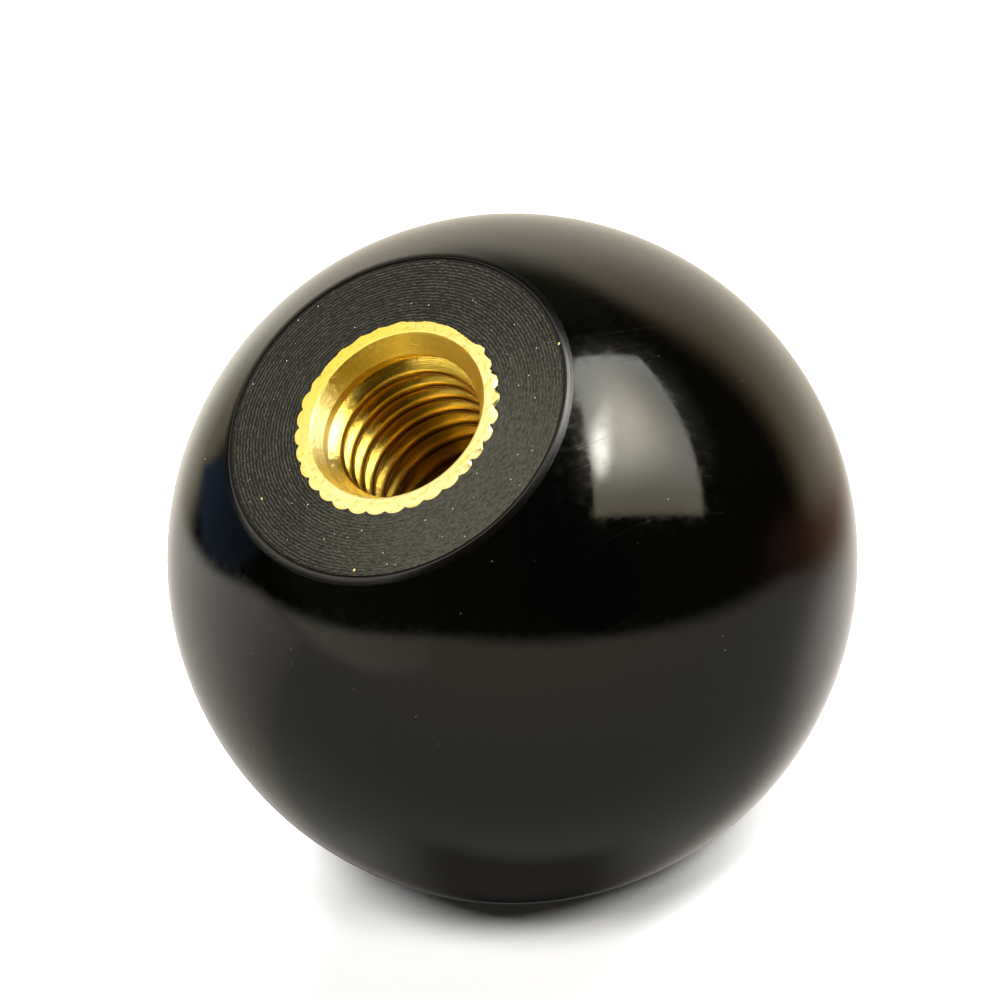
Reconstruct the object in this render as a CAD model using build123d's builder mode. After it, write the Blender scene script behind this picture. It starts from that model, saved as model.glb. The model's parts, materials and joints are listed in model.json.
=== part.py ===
"""Ball knob with a moulded-in threaded insert, in millimetres.

The origin is the centre of the flat face that seats on a lever or a rod.
+Z is the knob's axis and points out of the threaded mouth, so the ball lies
below the origin and its crown is the lowest point.
"""
from math import radians, tan
import os

from build123d import *

# Ball: its full diameter, the height turned off to make the flat, and the flat's broken edge
ball_diameter = 40.0
faced_off_height = 3.0
face_edge_bevel = 0.35

# Thread in the insert, cut in a blind bore that is drilled from the flat face
thread_diameter = 10.0
thread_pitch = 1.5
thread_depth = 15.0
drill_runout = 2.5
drill_point_angle = 118.0

# Countersink at the mouth, a little wider than the thread
mouth_oversize = 0.8
countersink_angle = 60.0

# Insert: brass outside the thread, out to the knurl's tips, and below the drill point
insert_wall = 1.4
insert_floor = 2.0

# Knurl round the insert, with flat-sided notches and round-topped teeth between them
knurl_tooth_count = 32
knurl_depth = 0.4
knurl_notch_angle = 90.0

# Ball's places
ball_radius = ball_diameter / 2
crown_z = faced_off_height - ball_diameter
ball_centre_z = crown_z + ball_radius
face_radius = (ball_radius**2 - ball_centre_z**2) ** 0.5

# Bore's radii and depths
tap_radius = (thread_diameter - thread_pitch) / 2
mouth_radius = (thread_diameter + mouth_oversize) / 2
countersink_depth = (mouth_radius - tap_radius) / tan(radians(countersink_angle / 2))
drill_depth = thread_depth + drill_runout
drill_tip_depth = drill_depth + tap_radius / tan(radians(drill_point_angle / 2))

# Insert's outside
insert_radius = thread_diameter / 2 + insert_wall
insert_length = drill_tip_depth + insert_floor

os.makedirs("parts", exist_ok=True)


# Space that the insert fills in the ball. Both pieces are made from it, so the
# ball's socket follows every tooth of the knurl, face to face.
with BuildPart() as insert_envelope:
    with BuildSketch(Plane.XY) as knurled_section:
        Circle(insert_radius)
        # A notch is drawn as far outside the circle as it cuts inside
        notch_half_width = 2 * knurl_depth * tan(radians(knurl_notch_angle / 2))
        with PolarLocations(insert_radius, knurl_tooth_count, start_angle=180 / knurl_tooth_count):
            Polygon(
                (-knurl_depth, 0),
                (knurl_depth, -notch_half_width),
                (knurl_depth, notch_half_width),
                align=None,
                mode=Mode.SUBTRACT,
            )
    extrude(amount=-insert_length)


# Brass insert: the envelope with a countersunk blind bore
with BuildPart() as threaded_insert:
    add(insert_envelope.part)
    with BuildSketch(Plane.XZ) as bore_section:
        with BuildLine():
            Polyline(
                (0, 0),
                (mouth_radius, 0),
                (tap_radius, -countersink_depth),
                (tap_radius, -drill_depth),
                (0, -drill_tip_depth),
                close=True,
            )
        make_face()
    revolve(axis=Axis.Z, mode=Mode.SUBTRACT)

threaded_insert.part.label = "threaded_insert"
export_step(threaded_insert.part, "parts/threaded_insert.step")


# Ball: a sphere faced off square to its axis, moulded round the insert
with BuildPart() as ball:
    with BuildSketch(Plane.XZ) as ball_section:
        with BuildLine():
            Line((0, 0), (face_radius, 0))
            ThreePointArc((face_radius, 0), (ball_radius, ball_centre_z), (0, crown_z))
            Line((0, crown_z), (0, 0))
        make_face()
        face_corner = ball_section.vertices().sort_by_distance((face_radius, 0, 0))[0]
        chamfer(face_corner, length=face_edge_bevel)
    revolve(axis=Axis.Z)
    add(insert_envelope.part, mode=Mode.SUBTRACT)

ball.part.label = "ball"
export_step(ball.part, "parts/ball.step")
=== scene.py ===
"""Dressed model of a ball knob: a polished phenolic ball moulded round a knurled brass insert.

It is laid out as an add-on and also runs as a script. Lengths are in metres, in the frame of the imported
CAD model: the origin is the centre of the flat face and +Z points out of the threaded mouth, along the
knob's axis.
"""

import json
import random
from functools import partial
from math import asin, ceil, cos, pi, radians, sin, sqrt, tan

import bmesh
import bpy
from mathutils import Matrix, Vector


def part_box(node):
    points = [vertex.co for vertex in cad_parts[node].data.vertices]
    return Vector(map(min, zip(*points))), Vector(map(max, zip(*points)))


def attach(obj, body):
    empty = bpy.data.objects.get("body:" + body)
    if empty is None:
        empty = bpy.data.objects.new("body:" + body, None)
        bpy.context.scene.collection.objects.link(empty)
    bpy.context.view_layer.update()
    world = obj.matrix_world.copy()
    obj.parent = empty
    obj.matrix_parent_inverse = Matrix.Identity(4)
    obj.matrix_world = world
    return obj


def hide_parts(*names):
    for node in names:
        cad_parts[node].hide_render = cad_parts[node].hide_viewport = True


bl_info = {
    "name": "Ball Knob",
    "version": (1, 0, 0),
    "blender": (4, 5, 0),
    "location": "3D View > Sidebar > Ball Knob",
    "description": "Builds a phenolic ball knob with a threaded brass insert, and a studio round it",
    "category": "Add Mesh",
}

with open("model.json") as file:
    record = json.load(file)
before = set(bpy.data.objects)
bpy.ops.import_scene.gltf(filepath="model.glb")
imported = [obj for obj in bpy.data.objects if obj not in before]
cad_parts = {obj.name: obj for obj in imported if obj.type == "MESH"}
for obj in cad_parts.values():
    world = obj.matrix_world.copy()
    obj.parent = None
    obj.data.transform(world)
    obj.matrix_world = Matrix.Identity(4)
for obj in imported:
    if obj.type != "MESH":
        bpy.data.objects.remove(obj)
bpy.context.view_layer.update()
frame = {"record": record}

MM = 0.001
TURN = 2 * pi

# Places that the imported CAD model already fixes
ball_low, ball_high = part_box("ball")
insert_low, insert_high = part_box("threaded_insert")
mounts = {mount["name"]: mount for mount in frame["record"]["mounts"]}
BALL_RADIUS = min(ball_high.x, ball_high.y, -ball_low.x, -ball_low.y)
CROWN_Z = ball_low.z
BORE_RADIUS = mounts["thread"]["dims"]["r_mm"] * MM
BORE_TOP_Z = mounts["thread"]["pos_m"][2]
BORE_BOTTOM_Z = BORE_TOP_Z - mounts["thread"]["dims"]["length_mm"] * MM
INSERT_RADIUS = insert_high.x
INSERT_BOTTOM_Z = insert_low.z
# Tangents of half the countersink's, the thread's and the drill point's angle
COUNTERSINK_SLOPE = tan(radians(30))
THREAD_SLOPE = tan(radians(30))
DRILL_SLOPE = tan(radians(59))
MOUTH_RADIUS = BORE_RADIUS - BORE_TOP_Z * COUNTERSINK_SLOPE


def linear(hex_colour):
    """Turns an sRGB hex colour into linear red, green, blue and alpha."""
    channels = [int(hex_colour[k : k + 2], 16) / 255 for k in (0, 2, 4)]
    return tuple(c / 12.92 if c <= 0.04045 else ((c + 0.055) / 1.055) ** 2.4 for c in channels) + (1.0,)


def length_property(name, default, description):
    return bpy.props.FloatProperty(
        name=name, description=description, default=default, min=0.0, precision=5, subtype="DISTANCE"
    )


def colour_property(name, hex_colour, description):
    colour = linear(hex_colour)
    return bpy.props.FloatVectorProperty(
        name=name, description=description, default=colour, size=4, min=0.0, max=1.0, subtype="COLOR"
    )


class BallSettings(bpy.types.PropertyGroup):
    """Sizes and colours of the phenolic ball."""

    radius: length_property("Radius", BALL_RADIUS, "Radius of the moulded sphere")
    face_radius: length_property("Face radius", 10.44 * MM, "Radius of the flat inside its edge band")
    band_radius: length_property("Band radius", 10.85 * MM, "Radius where the band meets the sphere")
    face_sink: length_property("Face sink", 0.02 * MM, "Depth of the flat below the seating plane")
    groove_pitch: length_property("Groove pitch", 0.2 * MM, "Usual width of a groove of the flat")
    groove_depth: length_property("Groove depth", 0.022 * MM, "Depth of the flat's deepest groove")
    edge_groove: length_property("Edge groove", 0.08 * MM, "Depth of the groove inside the edge band")
    polished: colour_property("Polished resin", "010101", "Colour of the moulded and polished resin")
    turned: colour_property("Turned resin", "151410", "Colour of the resin where the lathe tool cut it")
    dust: colour_property("Dust", "A8A295", "Colour of the loose resin dust")


class InsertSettings(bpy.types.PropertyGroup):
    """Sizes and colours of the brass insert."""

    mouth_radius: length_property("Mouth radius", MOUTH_RADIUS, "Radius of the countersink at the flat")
    thread_radius: length_property("Thread radius", 5.0 * MM, "Radius at the root of the internal thread")
    thread_pitch: length_property("Thread pitch", 1.5 * MM, "Advance of the thread in one turn")
    thread_depth: length_property("Thread depth", 15.0 * MM, "Depth of the last full turn of thread")
    crest_wear: length_property("Crest wear", 0.04 * MM, "Height of the burr over the worn crest")
    crest_round: length_property("Crest rounding", 0.4 * MM, "Radius of the crest's upper edge")
    knurl_depth: length_property("Knurl depth", 0.4 * MM, "Depth of the notches of the knurl")
    tooth_count: bpy.props.IntProperty(name="Teeth", description="Teeth of the knurl", default=32, min=3)
    brass: colour_property("Brass", "F7D65E", "Colour of the bare brass")
    # Painted highlight: this paler brass shows only where a highlight is painted, on the faced end towards
    # -Y and on the countersink towards -X.
    highlight_brass: colour_property("Bright brass", "F9EDAE", "Colour of burnished brass")
    # Painted shade: the dark brown that the crests and the deeper bore are darkened towards.
    shaded_brass: colour_property("Grime", "6E4210", "Colour of brass under old oil")


class StudioSettings(bpy.types.PropertyGroup):
    """Colours round the knob, and the light on matt surfaces."""

    floor: colour_property("Floor", "F4F3F1", "Colour of the floor")
    backdrop: colour_property("Backdrop", "FFFFFF", "Colour behind the floor")
    lamp_strength: bpy.props.FloatProperty(
        name="Lamps", description="Brightness of the lamps that light matt surfaces", default=1.0, min=0.0
    )
    fill: bpy.props.FloatProperty(
        name="Fill", description="Even light on matt surfaces from all round", default=0.005, min=0.0
    )


# Meshes

# Points round the axis in every ring, twelve for each tooth of the knurl
FACE_POINTS = 384
ANGLES = [TURN * k / FACE_POINTS for k in range(FACE_POINTS)]
# Points nearer than this are one point
WELD_DISTANCE = 1e-4 * MM
# Edges that turn by more stay sharp: the ball's, and all others
BALL_CREASE = radians(35)
CREASE = radians(24)


def round_axis(radius, angle, height):
    """A point by its distance from the axis, its angle from +X and its height."""
    return radius * cos(angle), radius * sin(angle), height


class Shell:
    """Collects rings of points and the faces between them, and turns them into one closed mesh.

    A face's material is a number: its place in the list that build gets.
    """

    def __init__(self):
        self.points = []
        self.faces = []
        self.materials = []

    def add_points(self, points):
        """Adds points, and returns their numbers."""
        start = len(self.points)
        self.points.extend(points)
        return list(range(start, start + len(points)))

    def add_ring(self, radius, height):
        """Adds a level circle round the axis. radius may be a list with one radius for each point."""
        radii = radius if isinstance(radius, list) else [radius] * FACE_POINTS
        return self.add_points([round_axis(r, angle, height) for r, angle in zip(radii, ANGLES)])

    def bridge(self, ring_a, ring_b, material):
        """Quads from one ring to the next. Seen along the faces' normals, ring_a is on the right."""
        for quad in zip(ring_a, ring_a[1:] + ring_a[:1], ring_b[1:] + ring_b[:1], ring_b):
            self.faces.append(quad)
            self.materials.append(material)

    def bridge_all(self, rings, material):
        for ring_a, ring_b in zip(rings, rings[1:]):
            self.bridge(ring_a, ring_b, material)

    def cap(self, rim, tip, material):
        """A fan from the rim to one point."""
        centre = len(self.points)
        self.points.append(tip)
        for here, after in zip(rim, rim[1:] + rim[:1]):
            self.faces.append((here, after, centre))
            self.materials.append(material)

    def build(self, name, materials, crease_angle=CREASE):
        mesh = bpy.data.meshes.new(name)
        mesh.from_pydata(self.points, [], self.faces)
        for material in materials:
            mesh.materials.append(material)
        mesh.polygons.foreach_set("material_index", self.materials)
        work = bmesh.new()
        work.from_mesh(mesh)
        bmesh.ops.remove_doubles(work, verts=work.verts, dist=WELD_DISTANCE)
        bmesh.ops.dissolve_degenerate(work, edges=work.edges, dist=WELD_DISTANCE)
        bmesh.ops.recalc_face_normals(work, faces=work.faces)
        for face in work.faces:
            face.smooth = True
        for edge in work.edges:
            if len(edge.link_faces) == 2 and edge.calc_face_angle(0.0) > crease_angle:
                edge.smooth = False
        work.to_mesh(mesh)
        work.free()
        mesh.update()
        return add_object(name, mesh)


def add_object(name, data):
    """Puts an object into the scene."""
    made = bpy.data.objects.new(name, data)
    bpy.context.scene.collection.objects.link(made)
    return made


def smooth_step(value, low, high):
    """0 up to low, 1 from high on, and a smooth rise between them."""
    t = min(max((value - low) / (high - low), 0.0), 1.0)
    return t * t * (3 - 2 * t)


def between_points(points, place):
    """Value at a place, on straight lines between (place, value) points."""
    for (start, first), (end, last) in zip(points, points[1:]):
        if start <= place <= end:
            return first + (last - first) * (place - start) / (end - start)
    return None


KNURL_SEED = 11
# The shallowest notch's share of the usual depth, the most that a tip is worn back, and the most that
# the spoilt edge strays either way
SHALLOWEST_NOTCH = 0.85
TIP_WEAR = 0.05 * MM
EDGE_JAG = 0.02 * MM
# Width over which a tooth's side rounds into its tip
TIP_BLEND = 0.05 * MM
# How far a faced tooth falls to its notch, as a share of the notch's depth, and the power of its curve
FACED_FALL = 0.62
FACED_POWER = 2.2

# Levels of the knurl from its bottom up, and how much the facing tool changed the teeth there
KNURL_LEVELS = ((INSERT_BOTTOM_Z, 0.0), (-0.25 * MM, 0.0), (-0.14 * MM, 0.15), (-0.06 * MM, 0.7))

# The insert's edge where the facing tool spoilt its teeth, as (degrees from +X, millimetres from the
# axis). It broke them as far as 345 degrees, and smeared them nearly shut from there on.
BROKEN_END = 345
SPOILT_EDGE = (
    (276, 6.25), (278, 6.15), (280, 5.96), (282, 5.94), (284, 6.1), (286, 5.95), (287.5, 6.12),
    (289, 5.93), (292, 5.92), (295, 6.18), (297, 6.12), (299, 5.98), (302, 5.9), (306, 5.96),
    (310, 6.06), (313, 5.93), (318, 5.87), (322, 5.9), (324, 6.2), (326.5, 6.36), (328.5, 6.24),
    (330, 6.0), (338, 5.98), (345, 5.99), (347, 6.2), (350, 6.3), (353, 6.18), (356, 6.15),
    (359, 6.34), (362, 6.3), (365, 6.1), (369, 6.06), (377, 6.08), (381, 6.16), (388, 6.22),
    (392, 6.19), (400, 6.26), (406, 6.2), (412, 6.28), (415, 6.36), (419, 6.3), (424, 6.25),
    (428, 6.37), (433, 6.26), (438, 6.37), (446, 6.24), (450, 6.38), (455, 6.28), (462, 6.3),
    (468, 6.2), (473, 6.36), (477, 6.2),
)


class Knurl:
    """Outline of the knurl, shared by the insert and by the socket that the resin moulded round it."""

    def __init__(self, settings):
        draw = random.Random(KNURL_SEED)
        self.count = settings.tooth_count
        depth = settings.knurl_depth
        self.depths = [depth * draw.uniform(SHALLOWEST_NOTCH, 1.0) for _ in range(self.count)]
        self.tips = [draw.uniform(0.0, TIP_WEAR) for _ in range(self.count)]
        self.jags = [draw.uniform(-EDGE_JAG, EDGE_JAG) for _ in range(FACE_POINTS)]

    def outline(self, faced, chipped):
        """Radii at every point round the axis."""
        return [self.radius(k, faced, chipped) for k in range(FACE_POINTS)]

    def radius(self, point, faced, chipped):
        """Radius at one point round the axis.

        faced is 1 at the face, where the tool met the teeth, and 0 below. chipped is true for the brass,
        which lost the broken teeth, and false for the resin, which kept their shape.
        """
        turn = point / FACE_POINTS
        phase = turn * self.count + 0.5
        notch = round(phase) % self.count
        tooth = int(phase) % self.count
        across = phase - int(phase)
        tip = INSERT_RADIUS - self.tips[tooth]
        aside = min(across, 1 - across) * TURN * INSERT_RADIUS / self.count
        wall = INSERT_RADIUS - self.depths[notch] + aside
        gap = min(max(0.5 + (tip - wall) / (2 * TIP_BLEND), 0.0), 1.0)
        below = wall * gap + tip * (1 - gap) - TIP_BLEND * gap * (1 - gap)
        at_face = tip - FACED_FALL * self.depths[notch] * abs(2 * across - 1) ** FACED_POWER
        degrees = 360 * turn
        first = SPOILT_EDGE[0][0] if chipped else BROKEN_END
        if degrees < first:
            degrees += 360
        spoilt = between_points(SPOILT_EDGE, degrees)
        if spoilt is not None:
            at_face = spoilt * MM + self.jags[point]
        return min(below + (at_face - below) * faced, INSERT_RADIUS)


# Ball

# Materials of the ball
POLISHED, TRIMMED, TURNED = range(3)
SPHERE_RINGS = 92
BAND_RINGS = 12
# How far the band bulges in the middle, and how much each of its rings strays from that
BAND_BULGE = 0.006 * MM
BAND_STRAY = 0.002 * MM
# The band's inner edge: its height, the radius it is rounded to, and how far it turns
RIM_Z = -0.004 * MM
RIM_ROUND = 0.2 * MM
RIM_TURN = radians(30)
RIM_SHARES = (0.8, 0.6, 0.4, 0.2, 0.0)
# The flat's round rings begin this far from the band and end this far from the socket
FACE_RING_STEP = 0.036 * MM
FACE_INSET = 0.02 * MM
SOCKET_MARGIN = 0.3 * MM
# From there they take the socket's form over these shares of the way
SOCKET_SHARES = (0.25, 0.5, 0.75, 0.9, 1.0)
GROOVE_SEED = 5
# Least and greatest width and depth of the flat's grooves, as shares of their settings
GROOVE_WIDTHS = (0.5, 1.6)
GROOVE_DEPTHS = (0.15, 1.0)
# The tool cut more cleanly near the band: over these distances from it the grooves lose this share
CLEAN_CUT = (1.4 * MM, 0.5 * MM)
CLEAN_CUT_SHARE = 0.7
# Distances from the band at which the deeper groove beside it begins and is whole
EDGE_GROOVE = (0.17 * MM, 0.12 * MM)


def groove_heights(settings, radii):
    """Height of the turned flat at each radius: grooves of uneven width and depth, cut below the face."""
    draw = random.Random(GROOVE_SEED)
    grooves = []
    inner = INSERT_RADIUS
    while inner < settings.band_radius:
        outer = inner + settings.groove_pitch * draw.uniform(*GROOVE_WIDTHS)
        grooves.append((inner, outer, draw.uniform(*GROOVE_DEPTHS)))
        inner = outer
    edge_groove = [settings.face_radius - distance for distance in EDGE_GROOVE]
    clean_cut = [settings.face_radius - distance for distance in CLEAN_CUT]
    heights = []
    for r in radii:
        depth = 0.0
        for inner, outer, strength in grooves:
            if inner <= r < outer:
                depth = strength * (1 - abs(2 * (r - inner) / (outer - inner) - 1))
        depth *= 1 - CLEAN_CUT_SHARE * smooth_step(r, *clean_cut)
        edge = smooth_step(r, *edge_groove)
        heights.append(-settings.face_sink - settings.groove_depth * depth - settings.edge_groove * edge)
    return heights


def rim_point(settings, share):
    """(radius, height) on the band's rounded inner edge: share 0 is at the flat and 1 at the band."""
    turned = RIM_TURN * share
    return settings.face_radius + RIM_ROUND * sin(turned), RIM_Z - RIM_ROUND * (1 - cos(turned))


def make_ball(settings, knurl):
    """Sphere from the crown up, the band at its edge, the turned flat, and the toothed socket."""
    shell = Shell()
    radius = settings.radius
    centre_z = CROWN_Z + radius
    band_angle = asin(settings.band_radius / radius)
    rings = []
    for k in range(1, SPHERE_RINGS + 1):
        polar = pi - (pi - band_angle) * k / SPHERE_RINGS
        rings.append(shell.add_ring(radius * sin(polar), centre_z + radius * cos(polar)))
    shell.cap(rings[0][::-1], (0, 0, CROWN_Z), POLISHED)
    shell.bridge_all(rings, POLISHED)
    band_z = centre_z + radius * cos(band_angle)
    draw = random.Random(GROOVE_SEED + 1)
    band = [rings[-1]]
    rim_radius, rim_z = rim_point(settings, 1)
    for k in range(1, BAND_RINGS + 1):
        share = k / BAND_RINGS
        r = settings.band_radius + (rim_radius - settings.band_radius) * share
        z = band_z + (rim_z - band_z) * share
        z += sin(pi * share) * (BAND_BULGE + draw.uniform(-1, 1) * BAND_STRAY)
        band.append(shell.add_ring(r, z))
    for share in RIM_SHARES:
        band.append(shell.add_ring(*rim_point(settings, share)))
    shell.bridge_all(band, TRIMMED)
    radii = []
    r = settings.face_radius - FACE_INSET
    while r > INSERT_RADIUS + SOCKET_MARGIN:
        radii.append(r)
        r -= FACE_RING_STEP
    face = [band[-1]]
    for r, z in zip(radii, groove_heights(settings, radii)):
        face.append(shell.add_ring(r, z))
    rims = knurl.outline(1.0, False)
    for share in SOCKET_SHARES:
        inwards = [radii[-1] + (rim - radii[-1]) * share for rim in rims]
        face.append(shell.add_ring(inwards, -settings.face_sink))
    shell.bridge_all(face, TURNED)
    socket = [face[-1]]
    for z, faced in KNURL_LEVELS[::-1]:
        socket.append(shell.add_ring(knurl.outline(faced, False), z))
    shell.bridge_all(socket, TURNED)
    shell.cap(socket[-1], (0, 0, INSERT_BOTTOM_Z), TURNED)
    materials = [polished_phenolic(settings), trimmed_phenolic(settings), turned_phenolic(settings)]
    return shell.build("phenolic_ball", materials, BALL_CREASE)


# Insert

# Materials of the insert
FACED, TAPPED = range(2)
THREAD_SEED = 13
# The faced end: its level, how far its rings lie below that, and their number
END_Z = -0.012 * MM
END_STRAY = 0.004 * MM
END_RINGS = 14
# Its outer edge is broken, from the teeth's top to this far inside them
TEETH_TOP_Z = -0.03 * MM
END_INSET = 0.02 * MM
# The countersink: how far it starts below the end, how far its rings stray, and their number
CONE_DROP = 0.03 * MM
CONE_STRAY = 0.004 * MM
CONE_RINGS = 6
# Depth below the face at which a crest begins on +X
HELIX_START = 1.06 * MM
# Depths between which the groove grows from a scratch in the countersink to its whole depth
THREAD_RUN_IN = (0.4 * MM, 2.0 * MM)
FIRST_GROOVE_SHARE = 0.3
# How far the countersink ran off the axis, and towards which angle from +X
MOUTH_DRIFT = 0.15 * MM
MOUTH_DRIFT_ANGLE = radians(70)
# The lip between the end and the countersink, and the share of it at which it turns down
LIP_WIDTH = 0.05 * MM
LIP_TURN = 0.3
# Rows on the rounded upper edge of a crest, in degrees from the crest
ROUND_DEGREES = (60, 45, 30, 15, 0)
# Places in one pitch: where the burr begins, how soon it is whole, and where the crest ends
BURR_START = 0.2
BURR_RISE = 0.007
CREST_END = 0.268
# A row on the flank that faces the mouth, as a share of the flank's depth
FLANK_ROW = 0.6


def mouth_radius(settings, angle):
    """Radius of the countersink at the face. The tool that cut it ran a little off the knob's axis."""
    return settings.mouth_radius + MOUTH_DRIFT * cos(angle - MOUTH_DRIFT_ANGLE)


def thread_profile(settings):
    """Rows down one pitch, as (place in the pitch, share of the thread's depth).

    From the top: the rounded upper edge of the crest, the worn crest, the burr at its lower edge, the
    flank under it, the root, and the flank that faces the mouth.
    """
    depth = settings.thread_radius - BORE_RADIUS
    pitch = settings.thread_pitch
    flank = depth * THREAD_SLOPE / pitch
    worn = settings.crest_wear / depth
    round_start = settings.crest_round * THREAD_SLOPE
    rounded = []
    for degrees in ROUND_DEGREES:
        turned = radians(degrees)
        place = (round_start - settings.crest_round * sin(turned)) / pitch
        rounded.append((place, worn + settings.crest_round * (1 - cos(turned)) / depth))
    above = [(place + 1, share) for place, share in rounded if place < 0]
    crest = [(place, share) for place, share in rounded if place >= 0]
    crest += [(BURR_START, worn), (BURR_START + BURR_RISE, 0.0), (CREST_END, 0.0)]
    root = [(CREST_END + flank, 1.0), (1 - flank, 1.0), (1 - FLANK_ROW * flank, FLANK_ROW)]
    return crest + root + above


def make_insert(settings, knurl):
    """Knurled outside, faced end ring, countersink, right-hand thread, drilled end and closed bottom."""
    shell = Shell()
    draw = random.Random(THREAD_SEED)
    outside = []
    for z, faced in KNURL_LEVELS + ((TEETH_TOP_Z, 1.0),):
        outside.append(shell.add_ring(knurl.outline(faced, True), z))
    shell.cap(outside[0][::-1], (0, 0, INSERT_BOTTOM_Z), FACED)
    shell.bridge_all(outside, FACED)
    face = [outside[-1]]
    mouths = [mouth_radius(settings, angle) for angle in ANGLES]
    rims = [rim - END_INSET for rim in knurl.outline(1.0, True)]
    for k in range(END_RINGS + 1):
        share = k / END_RINGS
        height = END_Z - draw.uniform(0.0, END_STRAY)
        radii = [rim + (mouth + LIP_WIDTH - rim) * share for rim, mouth in zip(rims, mouths)]
        face.append(shell.add_ring(radii, height))
    radii = [mouth + LIP_TURN * LIP_WIDTH for mouth in mouths]
    face.append(shell.add_ring(radii, END_Z - LIP_TURN * LIP_WIDTH))
    shell.bridge_all(face, FACED)
    thread_top_z = -THREAD_RUN_IN[0]
    cone = [face[-1]]
    for k in range(1, CONE_RINGS + 1):
        share = k / CONE_RINGS
        z = (END_Z - CONE_DROP) * (1 - share) + thread_top_z * share
        stray = draw.uniform(-CONE_STRAY, CONE_STRAY) if k < CONE_RINGS else 0.0
        cone.append(shell.add_ring([mouth + COUNTERSINK_SLOPE * z + stray for mouth in mouths], z))
    shell.bridge_all(cone, TAPPED)
    bottom_z = -settings.thread_depth - settings.thread_pitch
    add_thread(shell, settings, thread_top_z, bottom_z)
    wall = [shell.add_ring(BORE_RADIUS, z) for z in (bottom_z, BORE_BOTTOM_Z)]
    shell.bridge_all(wall, TAPPED)
    tip_z = BORE_BOTTOM_Z - BORE_RADIUS / DRILL_SLOPE
    shell.cap(wall[1], (0, 0, tip_z), TAPPED)
    materials = [faced_brass(settings), tapped_brass(settings)]
    return shell.build("brass_insert", materials)


def add_thread(shell, settings, top_z, bottom_z):
    """Adds the thread between two levels. Its rows follow the helix, and are held at those levels."""
    pitch = settings.thread_pitch
    depth = settings.thread_radius - BORE_RADIUS
    profile = thread_profile(settings)
    turns = ceil((top_z - bottom_z) / pitch) + 2
    columns = []
    for k, angle in enumerate(ANGLES):
        column = []
        for turn in range(turns):
            for place, share in profile:
                z = pitch * (k / FACE_POINTS + 1 - turn - place) - HELIX_START
                z = min(max(z, bottom_z), top_z)
                r = BORE_RADIUS + depth * share * smooth_step(z, bottom_z, bottom_z + pitch)
                cone = mouth_radius(settings, angle) + COUNTERSINK_SLOPE * z
                if cone > BORE_RADIUS:
                    run_in = smooth_step(-z, *THREAD_RUN_IN)
                    run_in = FIRST_GROOVE_SHARE + (1 - FIRST_GROOVE_SHARE) * run_in
                    r = cone + max(r - cone, 0.0) * run_in
                column.append(len(shell.points))
                shell.points.append(round_axis(r, angle, z))
        columns.append(column)
    rows = len(profile)
    count = len(columns[0])
    for k in range(FACE_POINTS):
        here = columns[k]
        seam = k == FACE_POINTS - 1
        there = columns[0] if seam else columns[k + 1]
        shift = rows if seam else 0
        for row in range(shift, count - 1):
            a, b = here[row], here[row + 1]
            c, d = there[row + 1 - shift], there[row - shift]
            if shell.points[a] == shell.points[b] and shell.points[c] == shell.points[d]:
                continue
            shell.faces.append((a, d, c, b))
            shell.materials.append(TAPPED)


# Specks

# Brass chips that lie on the flat, as (distance from the axis, degrees from +X, width)
BRASS_CHIPS = (
    (10.3 * MM, -18.6, 0.26 * MM),
    (9.1 * MM, 170, 0.2 * MM),
    (9.9 * MM, 222, 0.3 * MM),
    (8.4 * MM, 205, 0.12 * MM),
    (7.5 * MM, 251, 0.1 * MM),
)
SPECK_SEED = 23
SPECK_CORNERS = 7
SPECK_HEIGHT = 0.016 * MM
# Shares: a corner's reach and height, a speck's width beside its length, and its top beside its foot
SPECK_REACHES = (0.5, 1.0)
SPECK_RISES = (0.6, 1.0)
SPECK_WIDTH = 0.7
SPECK_TAPER = 0.7
# Dust keeps a margin from the flat's edges. On the ball its places are degrees from +Z, and it is finer
DUST_ON_FLAT = 50
DUST_ON_BALL = 60
DUST_SIZES = (0.04 * MM, 0.12 * MM)
DUST_MARGIN = 0.3 * MM
DUST_POLARS = (36, 84)
FINE_DUST = 0.7


def add_speck(shell, draw, place, outwards, size):
    """Adds one closed chip, flat underneath and uneven round its edge, that rests on a surface."""
    side = outwards.orthogonal().normalized()
    ahead = outwards.cross(side)
    start = draw.uniform(0, TURN)
    low = []
    high = []
    for k in range(SPECK_CORNERS):
        angle = start + TURN * k / SPECK_CORNERS
        reach = size / 2 * draw.uniform(*SPECK_REACHES)
        aside = (side * cos(angle) + ahead * sin(angle) * SPECK_WIDTH) * reach
        low.append(place + aside)
        high.append(place + aside * SPECK_TAPER + outwards * SPECK_HEIGHT * draw.uniform(*SPECK_RISES))
    foot = shell.add_points(low)
    top = shell.add_points(high)
    shell.bridge(foot, top, 0)
    shell.cap(top, place + outwards * SPECK_HEIGHT, 0)
    shell.cap(foot[::-1], place, 0)


def make_brass_chips(settings, ball):
    """Chips that the tap and the facing tool left on the flat."""
    shell = Shell()
    draw = random.Random(SPECK_SEED)
    for reach, degrees, size in BRASS_CHIPS:
        place = Vector(round_axis(reach, radians(degrees), -ball.face_sink))
        add_speck(shell, draw, place, Vector((0, 0, 1)), size)
    return shell.build("brass_chips", [faced_brass(settings)])


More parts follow.
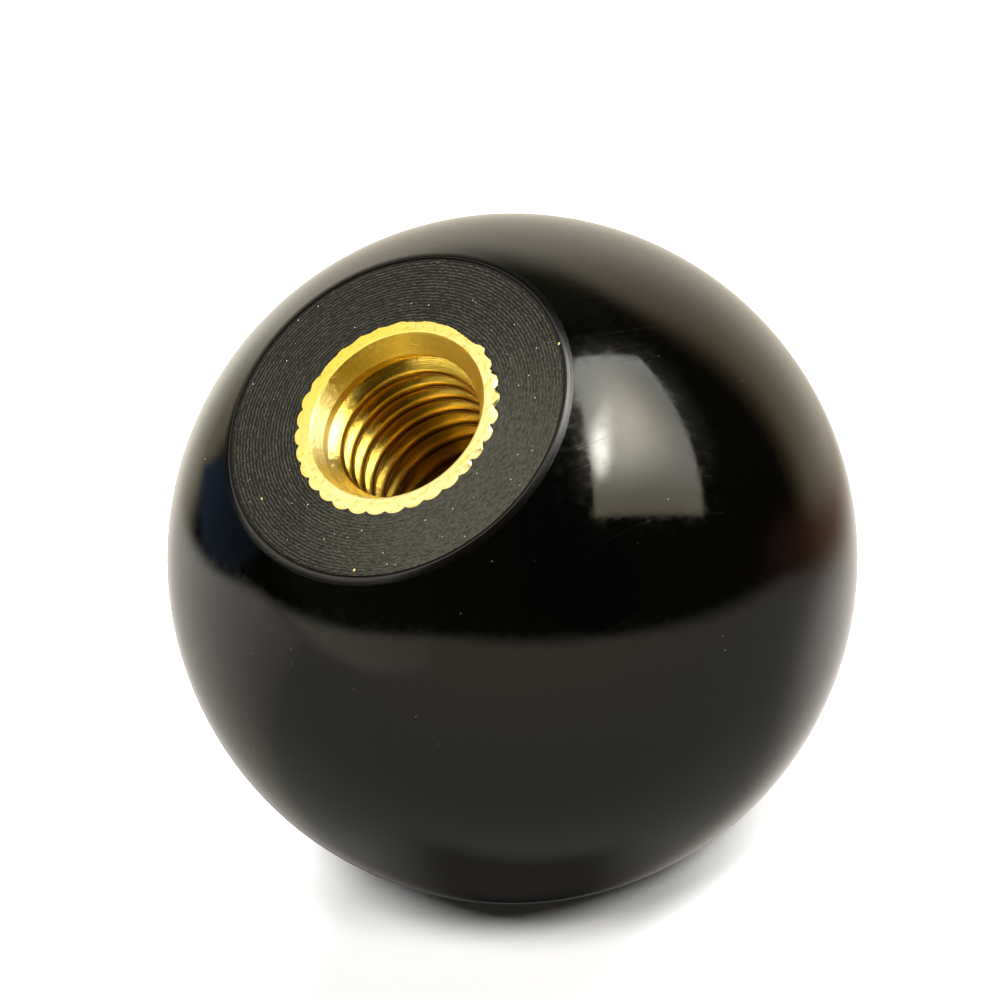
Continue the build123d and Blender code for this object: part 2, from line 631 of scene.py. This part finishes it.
def make_dust(settings):
    """Resin dust on the flat, and a little on the part of the sphere round it."""
    shell = Shell()
    draw = random.Random(SPECK_SEED + 1)
    inner = INSERT_RADIUS + DUST_MARGIN
    outer = settings.face_radius - DUST_MARGIN
    for _ in range(DUST_ON_FLAT):
        reach = sqrt(draw.uniform(inner**2, outer**2))
        place = Vector(round_axis(reach, draw.uniform(0, TURN), -settings.face_sink))
        add_speck(shell, draw, place, Vector((0, 0, 1)), draw.uniform(*DUST_SIZES))
    centre = Vector((0, 0, CROWN_Z + settings.radius))
    for _ in range(DUST_ON_BALL):
        polar = radians(draw.uniform(*DUST_POLARS))
        outwards = Vector(round_axis(sin(polar), draw.uniform(0, TURN), cos(polar)))
        size = draw.uniform(*DUST_SIZES) * FINE_DUST
        add_speck(shell, draw, centre + outwards * settings.radius, outwards, size)
    return shell.build("resin_dust", [resin_dust(settings)])


# Materials

# A Mix node for colours. Its sockets go by number, because others share their names.
MIX_A, MIX_B = 6, 7
COLOURS = {"output": 2, "data_type": "RGBA"}
RESIN_IOR = 1.6
# A wave texture's rings come round every 0.314 of its own units
WAVE_PERIOD = 0.314
# Middle of the painted sheen and the flecked grain on the turned resin, and the distances from it at which
# they begin and are whole
SHEEN_AND_GRAIN_CENTRE = (1 * MM, -9 * MM, 0)
SHEEN_AND_GRAIN_REACH = (13 * MM, 4 * MM)
# Width over which painted shade darkens the groove beside the band
GROOVE_SHADE_BLEND = 0.04 * MM
# Levels at which the countersink and the painted shade deeper in the bore begin and are whole
CONE_LEVELS = (-1.9 * MM, -1.3 * MM)
DEPTH_SHADE_LEVELS = (-6 * MM, -14 * MM)


def add_node(tree, kind, inputs=None, output=0, **settings):
    """Adds a node, sets its settings, fills its inputs with values or links, and returns one output."""
    node = tree.nodes.new("ShaderNode" + kind)
    for name, value in settings.items():
        setattr(node, name, value)
    for key, value in (inputs or {}).items():
        if isinstance(value, bpy.types.NodeSocket):
            tree.links.new(value, node.inputs[key])
        else:
            node.inputs[key].default_value = value
    return node.outputs[output] if node.outputs else node


def new_material(name):
    """An empty node material, as (material, add_node for its tree)."""
    material = bpy.data.materials.new(name)
    material.use_nodes = True
    material.node_tree.nodes.clear()
    return material, partial(add_node, material.node_tree)


def axis_distance(add, place):
    """Distance of a place from the knob's axis."""
    level = add("VectorMath", {0: place, 1: (1, 1, 0)}, operation="MULTIPLY")
    return add("VectorMath", {0: level}, output="Value", operation="LENGTH")


def lathe_rings(add, place, across, along, detail=3.0):
    """Noise drawn out round the knob's axis, as a lathe tool leaves it. across and along are widths."""
    drawn_out = (1 / along, 1 / along, 1 / across)
    stretched = add("VectorMath", {0: place, 1: drawn_out}, operation="MULTIPLY")
    radius = axis_distance(add, place)
    outwards = add("Math", {0: radius, 1: 1 / across}, operation="MULTIPLY")
    noise = {"Vector": stretched, "W": outwards, "Scale": 1.0, "Detail": detail, "Roughness": 0.6}
    return add("TexNoise", noise, noise_dimensions="4D")


def shade(colour, amount):
    """A colour made darker or paler by a factor."""
    return tuple(amount * c for c in colour[:3]) + (1.0,)


def polished_phenolic(settings):
    """Phenolic resin, compression moulded and polished: near black, with a deep hard gloss.

    The eye gets clear reflections that ripple a little, a thin haze and hairline scratches.
    """
    material, add = new_material("phenolic_moulded_polished")
    place = add("TexCoord", output="Object")
    ripple = add("TexNoise", {"Vector": place, "Scale": 1 / (1.1 * MM), "Detail": 3.0})
    rippled = add("Bump", {"Height": ripple, "Distance": 0.0009 * MM})
    hazy = add("TexNoise", {"Vector": place, "Scale": 1 / (0.6 * MM), "Detail": 4.0})
    haze = {"Value": hazy, "From Min": 0.38, "From Max": 0.68, "To Min": 0.04, "To Max": 0.13}
    hazed = add("MapRange", haze)
    # Most real hairlines are finer: these are as coarse as they need to show
    hairline = (1 / (5 * MM), 1 / (0.06 * MM), 1 / (5 * MM))
    combed = add("VectorMath", {0: place, 1: hairline}, operation="MULTIPLY")
    hairs = add("TexNoise", {"Vector": combed, "Scale": 1.0, "Detail": 1.0})
    scratched = add("MapRange", {"Value": hairs, "From Min": 0.66, "From Max": 0.74, "To Max": 0.12})
    rough = add("Math", {0: hazed, 1: scratched}, operation="ADD")
    surface = {"Base Color": settings.polished, "Roughness": rough, "IOR": RESIN_IOR, "Normal": rippled}
    add("OutputMaterial", {"Surface": add("BsdfPrincipled", surface)})
    return material


def trimmed_phenolic(settings):
    """Phenolic resin, broken at the edge by a scraping tool: fairly glossy, with fine rings round it."""
    material, add = new_material("phenolic_edge_trimmed")
    place = add("TexCoord", output="Object")
    rings = lathe_rings(add, place, 0.05 * MM, 3 * MM)
    ringed = add("Bump", {"Height": rings, "Distance": 0.006 * MM})
    surface = {"Base Color": settings.polished, "Roughness": 0.22, "Normal": ringed}
    surface |= {"IOR": RESIN_IOR, "Specular IOR Level": 0.35}
    add("OutputMaterial", {"Surface": add("BsdfPrincipled", surface)})
    return material


def turned_phenolic(settings):
    """Phenolic resin, faced on a lathe: dull and dark, because the tool tears the filler open.

    The eye gets broken pale feed rings on black towards +Y and grey flecks towards -Y. A painted sheen
    makes the flat paler towards -Y, and painted shade darkens the groove just inside the edge.
    """
    material, add = new_material("phenolic_face_turned")
    place = add("TexCoord", output="Object")
    scale = WAVE_PERIOD / settings.groove_pitch
    feed = {"Vector": place, "Scale": scale, "Distortion": 3.4, "Detail Scale": 2.5}
    feed_rings = add("TexWave", feed, output="Fac", wave_type="RINGS", rings_direction="Z")
    fine_rings = lathe_rings(add, place, 0.06 * MM, 0.8 * MM)
    flecks = lathe_rings(add, place, 0.09 * MM, 0.22 * MM, 4.0)
    from_sheen_centre = add("VectorMath", {0: place, 1: SHEEN_AND_GRAIN_CENTRE}, output="Value", operation="DISTANCE")
    grain_and_sheen = add("MapRange", {"Value": from_sheen_centre, "From Min": SHEEN_AND_GRAIN_REACH[0], "From Max": SHEEN_AND_GRAIN_REACH[1]})
    gaps = {"Value": flecks, "From Min": 0.35, "From Max": 0.65, "To Min": 0.4, "To Max": 1.6}
    broken = add("MapRange", gaps)
    whole_rings = add("Math", {0: feed_rings, 1: fine_rings}, operation="MULTIPLY")
    ringed = add("Math", {0: whole_rings, 1: broken}, operation="MULTIPLY")
    speckled = add("MapRange", {"Value": flecks, "From Min": 0.4, "From Max": 0.62, "To Max": 0.5})
    pattern = add("Mix", {"Factor": grain_and_sheen, 2: ringed, 3: speckled})
    relief = add("Bump", {"Height": pattern, "Distance": 0.012 * MM})
    # Painted sheen: the tone is made paler round -Y, where the turned face catches the light, and a little
    # darker far from there.
    painted_sheen = add("MapRange", {"Value": grain_and_sheen, "To Min": -0.06, "To Max": 0.25})
    pale = add("Math", {0: pattern, 1: painted_sheen}, operation="ADD")
    radius = axis_distance(add, place)
    # Painted shade: the tone turns dark in the narrow groove just inside the edge band, where little light
    # reaches.
    start = settings.face_radius - EDGE_GROOVE[0]
    groove = {"Value": radius, "From Min": start, "From Max": start + GROOVE_SHADE_BLEND, "To Max": -1.0}
    painted_groove_shade = add("MapRange", groove)
    pale_with_groove_shade = add("Math", {0: pale, 1: painted_groove_shade}, operation="ADD")
    share = add("MapRange", {"Value": pale_with_groove_shade, "From Min": 0.1, "From Max": 0.62})
    tones = {"Factor": share, MIX_A: shade(settings.turned, 0.4), MIX_B: shade(settings.turned, 3.5)}
    tone = add("Mix", tones, **COLOURS)
    surface = {"Base Color": tone, "Roughness": 0.55, "Normal": relief}
    surface |= {"IOR": RESIN_IOR, "Specular IOR Level": 0.12}
    add("OutputMaterial", {"Surface": add("BsdfPrincipled", surface)})
    return material


def faced_brass(settings):
    """Free-cutting brass, faced on a lathe together with the resin.

    The eye gets a pale gold that is nearly white under the overhead light, mottled, with fine rings and
    small torn pits. A painted highlight mixes in a paler brass towards -Y.
    """
    material, add = new_material("brass_faced")
    place = add("TexCoord", output="Object")
    rings = lathe_rings(add, place, 0.06 * MM, 3 * MM)
    grain = add("TexNoise", {"Vector": place, "Scale": 1 / (0.35 * MM), "Detail": 4.0})
    pits = add("MapRange", {"Value": grain, "From Min": 0.34, "From Max": 0.42, "To Min": -1.5})
    height = add("Math", {0: rings, 1: pits}, operation="ADD")
    relief = add("Bump", {"Height": height, "Distance": 0.006 * MM})
    rough = add("MapRange", {"Value": grain, "From Min": 0.35, "To Min": 0.5, "To Max": 0.24})
    # Painted highlight: the faced end is made paler towards -Y, more where its rings and mottling are
    # pale.
    side = add("SeparateXYZ", {0: place}, output="Y")
    painted_highlight = add("MapRange", {"Value": side, "From Min": 6 * MM, "From Max": -2 * MM})
    ringed = add("MapRange", {"Value": rings, "From Min": 0.3, "From Max": 0.55, "To Min": 0.25})
    mottle = {"Value": grain, "From Min": 0.36, "From Max": 0.56, "To Min": 0.65}
    mottled = add("MapRange", mottle)
    smeared = add("Math", {0: ringed, 1: mottled}, operation="MULTIPLY")
    share = add("Math", {0: smeared, 1: painted_highlight}, operation="MULTIPLY")
    tones = {"Factor": share, MIX_A: settings.brass, MIX_B: settings.highlight_brass}
    tone = add("Mix", tones, **COLOURS)
    surface = {"Base Color": tone, "Metallic": 1.0, "Roughness": rough, "Normal": relief}
    add("OutputMaterial", {"Surface": add("BsdfPrincipled", surface)})
    return material


def tapped_brass(settings):
    """Free-cutting brass, countersunk and tapped: bright walls, scored round the bore.

    The eye gets bright flanks, darker crests and broad glints, and a countersink that is scored deeply. A
    painted highlight makes the countersink paler towards -X, and painted shade darkens the crests and the
    bore further down, in red-brown.
    """
    material, add = new_material("brass_tapped")
    place = add("TexCoord", output="Object")
    scores = lathe_rings(add, place, 0.05 * MM, 2.5 * MM)
    grain = add("TexNoise", {"Vector": place, "Scale": 1 / (0.4 * MM), "Detail": 3.0})
    height = add("Math", {0: scores, 1: grain}, operation="ADD")
    level = add("SeparateXYZ", {0: place}, output="Z")
    cone = {"Value": level, "From Min": CONE_LEVELS[0], "From Max": CONE_LEVELS[1]}
    in_cone = add("MapRange", cone)
    score_depth = add("MapRange", {"Value": in_cone, "To Min": 0.012 * MM, "To Max": 0.034 * MM})
    relief = add("Bump", {"Height": height, "Distance": score_depth})
    # Painted shade: the bore is made darker and red-brown further down, where little light reaches, and a
    # little rougher there.
    depth_shade_range = {"Value": level, "From Min": DEPTH_SHADE_LEVELS[0], "From Max": DEPTH_SHADE_LEVELS[1]}
    depth_shade_and_roughness = add("MapRange", depth_shade_range)
    radius = axis_distance(add, place)
    # Painted shade: the crests, which are the drill's wall, are made darker than the cut flanks
    drilled = {"Value": radius, "From Min": 4.28 * MM, "From Max": 4.36 * MM, "To Min": 0.9, "To Max": 0.0}
    painted_crest_shade = add("MapRange", drilled)
    # The stronger of the two painted shades
    darker = add("Math", {0: depth_shade_and_roughness, 1: painted_crest_shade}, operation="MAXIMUM")
    # Painted highlight: the countersink is made paler towards -X.
    side = add("SeparateXYZ", {0: place}, output="X")
    left = add("MapRange", {"Value": side, "From Min": -1.2 * MM, "From Max": -3.5 * MM, "To Max": 0.8})
    painted_highlight = add("Math", {0: in_cone, 1: left}, operation="MULTIPLY")
    unshaded_tones = {"Factor": painted_highlight, MIX_A: settings.brass, MIX_B: settings.highlight_brass}
    unshaded_tone = add("Mix", unshaded_tones, **COLOURS)
    # The painted shades mix the tone towards the dark brown.
    tones = {"Factor": darker, MIX_A: unshaded_tone, MIX_B: settings.shaded_brass}
    tone = add("Mix", tones, **COLOURS)
    crest = {"Value": radius, "From Min": 4.3 * MM, "From Max": 4.5 * MM, "To Min": 0.24, "To Max": 0.2}
    crest_rough = add("MapRange", crest)
    cone_rough = add("Math", {0: in_cone, 1: 0.1}, operation="MULTIPLY")
    rough = add("Math", {0: crest_rough, 1: cone_rough}, operation="ADD")
    rough_with_depth = add("Math", {0: depth_shade_and_roughness, 1: 0.2, 2: rough}, operation="MULTIPLY_ADD")
    # The score marks run round the bore, so they spread a glint up and down its wall
    round_bore = add("Tangent", direction_type="RADIAL", axis="Z")
    surface = {"Base Color": tone, "Metallic": 1.0, "Roughness": rough_with_depth, "Normal": relief}
    surface |= {"Anisotropic": 0.9, "Anisotropic Rotation": 0.25, "Tangent": round_bore}
    add("OutputMaterial", {"Surface": add("BsdfPrincipled", surface)})
    return material


def resin_dust(settings):
    """Dust and crumbs of phenolic resin and its wood filler: matt and pale, so they show on the black."""
    material, add = new_material("phenolic_dust_loose")
    surface = {"Base Color": settings.dust, "Roughness": 0.9}
    add("OutputMaterial", {"Surface": add("BsdfPrincipled", surface)})
    return material


# Studio

# The lens: where it stands round the knob, how far it is turned about its own line of sight, and how
# long it is. The aim is measured from the ball's centre, in the picture's own directions.
VIEW_TILT = radians(38.0)
VIEW_ROLL = radians(39.1)
VIEW_DISTANCE = 900 * MM
VIEW_AIM = (-0.725 * MM, 3.38 * MM)
LENS_LENGTH_MM = 559.9
SENSOR_WIDTH_MM = 36
CLIP_RANGE = (0.05, 20)

TO_LENS = Vector((0, -sin(VIEW_TILT), cos(VIEW_TILT)))
UNROLLED_UP = Vector((0, cos(VIEW_TILT), sin(VIEW_TILT)))
PICTURE_RIGHT = cos(VIEW_ROLL) * Vector((1, 0, 0)) - sin(VIEW_ROLL) * UNROLLED_UP
PICTURE_UP = sin(VIEW_ROLL) * Vector((1, 0, 0)) + cos(VIEW_ROLL) * UNROLLED_UP


def studio_direction(azimuth, elevation):
    """Direction from the knob, in degrees: azimuth 0 is the lens and 90 the right of the picture."""
    a = radians(azimuth)
    e = radians(elevation)
    level = cos(a) * TO_LENS + sin(a) * PICTURE_RIGHT
    return cos(e) * level + sin(e) * PICTURE_UP


# The studio's surfaces, as the polished ball shows them, from the back to the front. Each has its corners
# in turn, the width of its soft edge, the two directions that its light runs between, and a colour and a
# strength at each of these. Directions are (azimuth, elevation) in degrees.
STUDIO = {
    "room_below_lens": (
        ((-12, -46), (39, -40.9), (41, 44), (-39, 44), (-109, 26), (-91, -24)),
        0.141, ((-60, -12), (10, 10)), ("E8FFA8", "FFFF00"), (0.041, 0.002),
    ),
    "room_top": (
        ((51, 62.5), (103.8, 66.2), (179, 62.8), (161, 95), (-2.4, 83)),
        0.06, ((70, 75), (160, 75)), ("D8FF89", "F6FFB3"), (0.016, 0.051),
    ),
    "table": (
        ((-141, 4.8), (-122.6, -3), (-74.8, -15), (-54.7, -20.4), (-20.8, -21.6), (-2.4, -22.8),
         (36.2, -23.4), (61.8, -14.9), (92.3, -2.5), (141, 1.1)),
        0.12, ((0, -26), (0, -88)), ("FFF6D9", "FFFEF7"), (0.52, 0.323),
    ),
    "table_edge": (
        ((-90.8, -9.7), (-58.3, -20.3), (-29, -25.7), (-33.5, -34.7), (-51, -35.9)),
        0.1, ((-70, -20), (-30, -32)), ("FFF9E3", "FFF2E1"), (0.791, 0.638),
    ),
    "table_left": (
        ((-171.4, 7.7), (-117.7, -1.2), (-93.7, -7.6), (-75, -22), (-84, -30.4), (-129, -33.2),
         (-161, -30)),
        0.091, ((-120, -36), (-120, 0)), ("FFFAE3", "FFFAEE"), (0.29, 1.08),
    ),
    "table_right": (
        ((118.4, -7), (144.5, 9), (199, 10), (199, -30), (159, -31.2), (111, -30)),
        0.52, ((155, -36), (155, 2)), ("FFE9CF", "FFF9F1"), (0.179, 1.38),
    ),
    "knob_shadow_on_table": (
        ((171.6, -10), (183.3, 2), (213.9, -60.5), (151.6, -54)),
        0.245, ((180, -10), (180, -55)), ("FFFFFF", "FFF7ED"), (0, 0.121),
    ),
    "card": (
        ((116.7, -1), (153, 0.3), (224.8, 3.4), (225.5, 54.4), (184, 70.9), (136, 67.6), (113.7, 65.9)),
        0.32, ((114, 30), (155, 25)), ("FFDEA7", "FFF5DE"), (0.438, 1.06),
    ),
    "card_edge": (
        ((-174, 5.1), (-159, 0.5), (-129, 12.1), (-133, 36), (-156, 26)),
        0.217, ((-140, 10), (-162, 10)), ("FFF0C9", "FFFBE9"), (0.565, 1.32),
    ),
    "wall_foot": (
        ((89.5, -2.4), (146.3, 0.6), (161.8, 6.3), (127, 9.7), (97, 7.5)),
        0.27, ((90, 3), (150, 4)), ("FFA0B5", "FF9C52"), (0.091, 0.371),
    ),
    "blue_box": (
        ((-132, 14), (-138.8, 11.5), (-122.6, 0), (-106.3, -3.2), (-90.7, 2.1), (-109.9, 15.2),
         (-122.6, 16.6)),
        0.07, ((-138, 8), (-97, 3)), ("A7C8FF", "BEE3FF"), (0.195, 0.074),
    ),
    "contact_shadow": (
        ((177, 2), (183, 2), (184.5, -9), (176.5, -9)),
        0.05, ((180, 0), (180, -9)), ("FFFFFF", "FFFFFF"), (0.04, 0.1),
    ),
    "softbox": (
        ((26.9, 13.2), (68.3, 11.8), (74.9, 39.8), (83.3, 57.4), (49.2, 66.5), (34.1, 59), (30.2, 39)),
        0.03, ((50, 12), (55, 50)), ("FFEEC7", "FDFFF6"), (1.44, 3.79),
    ),
    "softbox_top": (
        ((31.4, 32), (71.3, 32.2), (77.1, 59.3), (46.6, 61), (39.8, 50)),
        0.474, ((34, 40), (75, 45)), ("FFF6DF", "FFF9E8"), (13.7, 0.927),
    ),
    "softbox_lamp": (
        ((32.5, 27.1), (32.9, 27.3), (42, 46.5), (32.3, 40)),
        0.13, ((36, 28), (36, 42)), ("FEFFEF", "FEFFF5"), (44, 20),
    ),
    "side_window": (
        ((-98, 11), (-78, 5), (-55, 1), (-40, 1), (-36, 15), (-40, 42), (-98, 42)),
        0.04, ((-65, -6), (-65, 30)), ("FFF4DC", "FFF8EC"), (3.2, 2.0),
    ),
    "room_beside_lens": (
        ((-36, -4), (-20, 0), (0, 14), (12, 28), (4, 36), (-20, 38), (-36, 34)),
        0.08, ((-36, 10), (12, 10)), ("FFC45A", "FFC45A"), (0.09, 0.08),
    ),
    "overhead": (
        ((-105, 38), (-60, 30), (0, 32), (13, 35), (36, 56), (30, 66), (-90, 66)),
        0.08, ((-100, 50), (-20, 50)), ("FFF8EC", "FFFAF2"), (1.35, 1.6),
    ),
    "lamp_over_lens": (
        ((3, 46), (19, 43), (27, 52), (34, 68), (20, 74), (0, 70)),
        0.08, ((15, 46), (15, 72)), ("FFFCF4", "FFFCF4"), (13, 12),
    ),
}


def surface_outline(add, direction, places, softness):
    """1 inside a surface's outline and 0 outside: the product of one soft edge for each side."""
    corners = [studio_direction(*place) for place in places]
    middle = sum(corners, Vector()).normalized()
    outline = None
    for start, end in zip(corners, corners[1:] + corners[:1]):
        edge = start.cross(end).normalized()
        if edge.dot(middle) < 0:
            edge = -edge
        facing = {0: direction, 1: edge}
        inwards = add("VectorMath", facing, output="Value", operation="DOT_PRODUCT")
        soft = {"Value": inwards, "From Min": -softness / 2, "From Max": softness / 2}
        inside = add("MapRange", soft, interpolation_type="SMOOTHSTEP")
        if outline is None:
            outline = inside
        else:
            outline = add("Math", {0: outline, 1: inside}, operation="MULTIPLY")
    return outline


def surface_colour(add, direction, ramp, colours, strengths):
    """Light of a surface, from its first colour to its second along its ramp."""
    first, last = [studio_direction(*place) for place in ramp]
    run = last - first
    facing = {0: direction, 1: run / run.length_squared}
    along = add("VectorMath", facing, output="Value", operation="DOT_PRODUCT")
    start = first.dot(run) / run.length_squared
    place = add("Math", {0: along, 1: start}, operation="SUBTRACT", use_clamp=True)
    ends = [shade(linear(colour), strength) for colour, strength in zip(colours, strengths)]
    return add("Mix", {"Factor": place, MIX_A: ends[0], MIX_B: ends[1]}, **COLOURS)


# The room behind all these surfaces
ROOM_COLOUR = "FFE460"
ROOM_STRENGTH = 0.009


def make_world(settings):
    """The studio that glossy surfaces reflect, an even fill for matt ones, and a plain backdrop."""
    world = bpy.data.worlds.new("studio")
    world.use_nodes = True
    world.node_tree.nodes.clear()
    add = partial(add_node, world.node_tree)
    direction = add("TexCoord", output="Generated")
    light = shade(linear(ROOM_COLOUR), ROOM_STRENGTH)
    for corners, softness, *ramp in STUDIO.values():
        outline = surface_outline(add, direction, corners, softness)
        colour = surface_colour(add, direction, *ramp)
        layers = {"Factor": outline, MIX_A: light, MIX_B: colour}
        light = add("Mix", layers, **COLOURS)
    reflected = add("Background", {"Color": light})
    fill = add("Background", {"Color": (1, 1, 1, 1), "Strength": settings.fill})
    backdrop = add("Background", {"Color": settings.backdrop})
    on_matt = add("LightPath", output="Is Diffuse Ray")
    to_camera = add("LightPath", output="Is Camera Ray")
    lit = add("MixShader", {0: on_matt, 1: reflected, 2: fill})
    shown = add("MixShader", {0: to_camera, 1: lit, 2: backdrop})
    add("OutputWorld", {"Surface": shown})
    bpy.context.scene.world = world


# A sun lamp's distance changes nothing
LAMP_DISTANCE = 0.5
# Lamps over the floor, as (direction from the knob, strength, angular size in degrees)
LAMPS = {
    "front_lamp": ((-0.032, -0.405, 0.914), 2.39, 9.6),
    "high_lamp": ((0.740, 0.223, 0.635), 13.37, 53.6),
    "side_lamp": ((0.189, -0.586, 0.788), 1.52, 7.5),
}


def make_lamps(settings):
    """Lamps that light matt surfaces. The studio's own surfaces give the gloss, so these add none."""
    for name, (towards, strength, angle) in LAMPS.items():
        lamp = bpy.data.lights.new(name, "SUN")
        lamp.energy = strength * settings.lamp_strength
        lamp.angle = radians(angle)
        placed = add_object(name, lamp)
        placed.rotation_mode = "QUATERNION"
        placed.rotation_quaternion = Vector(towards).to_track_quat("Z", "Y")
        placed.location = Vector(towards) * LAMP_DISTANCE
        placed.visible_glossy = False


FLOOR_REACH = 6.0


def make_floor(settings):
    """A plain pale floor under the crown, so large that it runs into the backdrop."""
    mesh = bpy.data.meshes.new("floor")
    signs = ((-1, -1), (1, -1), (1, 1), (-1, 1))
    corners = [(x * FLOOR_REACH, y * FLOOR_REACH, CROWN_Z) for x, y in signs]
    mesh.from_pydata(corners, [], [(0, 1, 2, 3)])
    material, add = new_material("floor_painted_matt")
    add("OutputMaterial", {"Surface": add("BsdfDiffuse", {"Color": settings.floor})})
    mesh.materials.append(material)
    floor = add_object("floor", mesh)
    floor.visible_glossy = False


def make_camera():
    """The lens at the photograph's place, with no shift and no depth of field."""
    camera = bpy.data.cameras.new("camera")
    camera.sensor_width = SENSOR_WIDTH_MM
    camera.lens = LENS_LENGTH_MM
    camera.clip_start, camera.clip_end = CLIP_RANGE
    placed = add_object("camera", camera)
    ball_centre = Vector((0, 0, CROWN_Z + BALL_RADIUS))
    aim = ball_centre + VIEW_AIM[0] * PICTURE_RIGHT + VIEW_AIM[1] * PICTURE_UP
    axes = Matrix((PICTURE_RIGHT, PICTURE_UP, TO_LENS)).transposed().to_4x4()
    placed.matrix_world = Matrix.Translation(aim + VIEW_DISTANCE * TO_LENS) @ axes
    bpy.context.scene.camera = placed


# Add-on


class BALLKNOB_OT_ball(bpy.types.Operator):
    """Makes the phenolic ball with its turned flat and its toothed socket"""

    bl_idname = "ball_knob.ball"
    bl_label = "Phenolic Ball"

    def execute(self, context):
        ball = make_ball(context.scene.knob_ball, Knurl(context.scene.knob_insert))
        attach(ball, "root")
        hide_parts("ball")
        return {"FINISHED"}


class BALLKNOB_OT_insert(bpy.types.Operator):
    """Makes the knurled brass insert with its countersink and thread"""

    bl_idname = "ball_knob.insert"
    bl_label = "Brass Insert"

    def execute(self, context):
        insert = make_insert(context.scene.knob_insert, Knurl(context.scene.knob_insert))
        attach(insert, "root")
        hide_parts("threaded_insert")
        return {"FINISHED"}


class BALLKNOB_OT_specks(bpy.types.Operator):
    """Makes the brass chips and the resin dust that lie on the knob"""

    bl_idname = "ball_knob.specks"
    bl_label = "Chips and Dust"

    def execute(self, context):
        chips = make_brass_chips(context.scene.knob_insert, context.scene.knob_ball)
        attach(chips, "root")
        dust = make_dust(context.scene.knob_ball)
        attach(dust, "root")
        return {"FINISHED"}


class BALLKNOB_OT_stage(bpy.types.Operator):
    """Makes the floor, the studio light and the camera"""

    bl_idname = "ball_knob.stage"
    bl_label = "Studio"

    def execute(self, context):
        settings = context.scene.knob_studio
        context.scene.view_settings.view_transform = "Standard"
        make_world(settings)
        make_lamps(settings)
        make_floor(settings)
        make_camera()
        return {"FINISHED"}


class BALLKNOB_PT_panel(bpy.types.Panel):
    """Lists what the add-on makes"""

    bl_idname = "BALLKNOB_PT_panel"
    bl_label = "Ball Knob"
    bl_space_type = "VIEW_3D"
    bl_region_type = "UI"
    bl_category = "Ball Knob"

    def draw(self, context):
        for settings in (context.scene.knob_ball, context.scene.knob_insert, context.scene.knob_studio):
            box = self.layout.box()
            for name in settings.__annotations__:
                box.prop(settings, name)
        for operator in OPERATORS:
            self.layout.operator(operator.bl_idname)


OPERATORS = (BALLKNOB_OT_ball, BALLKNOB_OT_insert, BALLKNOB_OT_specks, BALLKNOB_OT_stage)
CLASSES = (BallSettings, InsertSettings, StudioSettings, *OPERATORS, BALLKNOB_PT_panel)


def register():
    for item in CLASSES:
        bpy.utils.register_class(item)
    bpy.types.Scene.knob_ball = bpy.props.PointerProperty(type=BallSettings)
    bpy.types.Scene.knob_insert = bpy.props.PointerProperty(type=InsertSettings)
    bpy.types.Scene.knob_studio = bpy.props.PointerProperty(type=StudioSettings)


def unregister():
    del bpy.types.Scene.knob_studio
    del bpy.types.Scene.knob_insert
    del bpy.types.Scene.knob_ball
    for item in reversed(CLASSES):
        bpy.utils.unregister_class(item)


def main():
    register()
    bpy.ops.ball_knob.ball()
    bpy.ops.ball_knob.insert()
    bpy.ops.ball_knob.specks()
    bpy.ops.ball_knob.stage()


if __name__ == "__main__":
    main()
